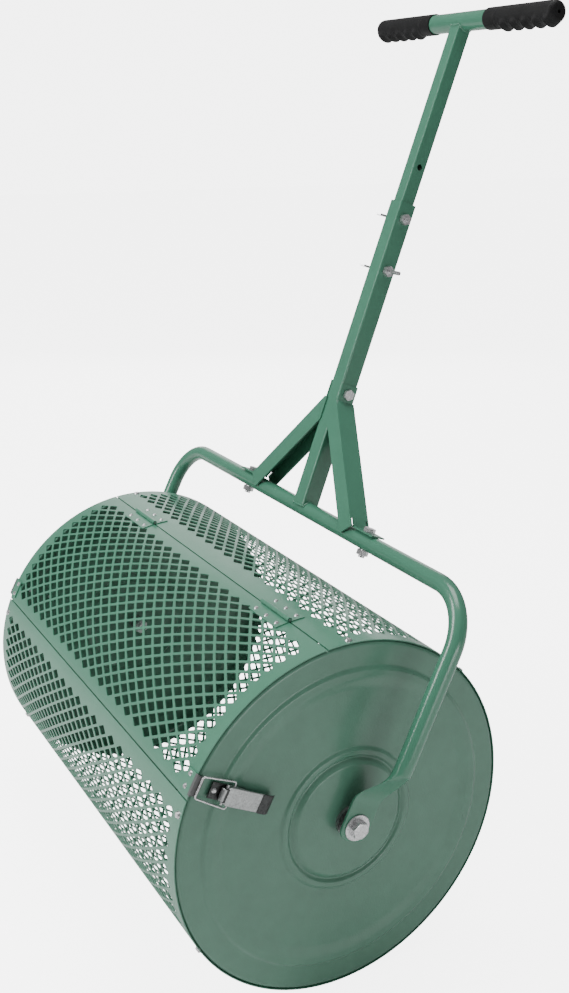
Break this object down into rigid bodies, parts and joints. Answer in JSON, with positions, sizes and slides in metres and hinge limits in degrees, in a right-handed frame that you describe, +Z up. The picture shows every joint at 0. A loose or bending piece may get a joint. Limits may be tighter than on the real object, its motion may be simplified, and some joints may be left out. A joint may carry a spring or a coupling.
{
  "type": "compost spreader",
  "caption": "Walk-behind peat and compost spreader: a perforated drum with a hinged, latched door rolls in a bent-tube yoke pulled by a telescopic T-handle.",
  "frame": {"origin": "on the ground, midway along the drum and straight under its axle", "axes": "+X along the axle towards the side of the handle where the wing bolts' nuts are, +Y the way the handle leans, +Z up"},
  "size_m": [0.741, 0.5818, 1.1043],
  "materials": {
    "perforated_sheet": "satin sage-green powder coat on diamond-mesh steel sheet",
    "pressed_disc": "satin sage-green powder coat on pressed steel",
    "green_hinge": "satin sage-green powder coat",
    "green_frame": "satin sage-green powder coat on steel tube",
    "grip_rubber": "matt black moulded rubber",
    "zinc": "bright zinc-plated steel",
    "dull_steel": "dull plated steel",
    "latch_zinc": "bright plated latch steel"
  },
  "bodies": {
    "frame": {"yoke_tube": "green_frame", "lower_tube": "green_frame", "upper_tube": "green_frame", "t_bar": "green_frame", "grip_right": "grip_rubber", "grip_left": "grip_rubber", "brace_right": "green_frame", "brace_left": "green_frame", "brace_bolts": "zinc", "brace_nuts": "zinc", "cross_bolt": "zinc", "cross_nut": "zinc", "wing_bolt_nuts": "zinc", "axle_bolts": "zinc", "axle_washers": "zinc", "axle_spacers": "dull_steel", "axle_nuts": "zinc"},
    "drum": {"drum_shell": "perforated_sheet", "end_disc_right": "pressed_disc", "end_disc_left": "pressed_disc", "hub_bushes": "dull_steel", "rim_screws": "zinc", "hinge_shell_leaf_right": "green_hinge", "hinge_shell_leaf_left": "green_hinge", "hinge_pin_right": "dull_steel", "hinge_pin_left": "dull_steel", "hinge_shell_rivets": "zinc", "latch_base_right": "dull_steel", "latch_base_left": "dull_steel", "latch_pin_right": "zinc", "latch_pin_left": "zinc", "latch_rivets": "zinc"},
    "door": {"door_panel": "perforated_sheet", "hinge_door_leaf_right": "green_hinge", "hinge_door_leaf_left": "green_hinge", "hinge_door_rivets": "zinc", "latch_catch_right": "dull_steel", "latch_catch_left": "dull_steel", "catch_rivets": "zinc"},
    "lever_right": {"latch_lever_right": "latch_zinc"},
    "lever_left": {"latch_lever_left": "latch_zinc"},
    "bail_right": {"latch_bail_right": "latch_zinc"},
    "bail_left": {"latch_bail_left": "latch_zinc"},
    "wing_upper": {"wing_bolt_upper": "zinc"},
    "wing_lower": {"wing_bolt_lower": "zinc"}
  },
  "joints": [
    {"name": "drum_spin", "type": "hinge", "parent": "frame", "child": "drum", "pos_m": [0, 0, 0.21], "axis": [1, 0, 0], "continuous": true},
    {"name": "door_hinge", "type": "hinge", "parent": "drum", "child": "door", "pos_m": [0, -0.02595, 0.42131], "axis": [-1, 0, 0], "range_deg": [0, 150]},
    {"name": "latch_lever_right", "type": "hinge", "parent": "drum", "child": "lever_right", "pos_m": [0.314, -0.15551, 0.29026], "axis": [0, -0.4587, -0.8886], "range_deg": [0, 120]},
    {"name": "latch_lever_left", "type": "hinge", "parent": "drum", "child": "lever_left", "pos_m": [-0.314, -0.15551, 0.29026], "axis": [0, 0.4587, 0.8886], "range_deg": [0, 120]},
    {"name": "latch_bail_right", "type": "hinge", "parent": "lever_right", "child": "bail_right", "pos_m": [0.3132, -0.14796, 0.28636], "axis": [0, -0.4587, -0.8886], "range_deg": [-120, 0]},
    {"name": "latch_bail_left", "type": "hinge", "parent": "lever_left", "child": "bail_left", "pos_m": [-0.3132, -0.14796, 0.28636], "axis": [0, 0.4587, 0.8886], "range_deg": [-120, 0]},
    {"name": "wing_bolt_upper_turn", "type": "hinge", "parent": "frame", "child": "wing_upper", "pos_m": [0, 0.26382, 0.84047], "axis": [1, 0, 0], "continuous": true},
    {"name": "wing_bolt_lower_turn", "type": "hinge", "parent": "frame", "child": "wing_lower", "pos_m": [0, 0.23901, 0.77448], "axis": [1, 0, 0], "continuous": true}
  ],
  "couplings": [
    {"joint": "latch_bail_right", "follows": "latch_lever_right", "ratio": -1},
    {"joint": "latch_bail_left", "follows": "latch_lever_left", "ratio": -1}
  ]
}
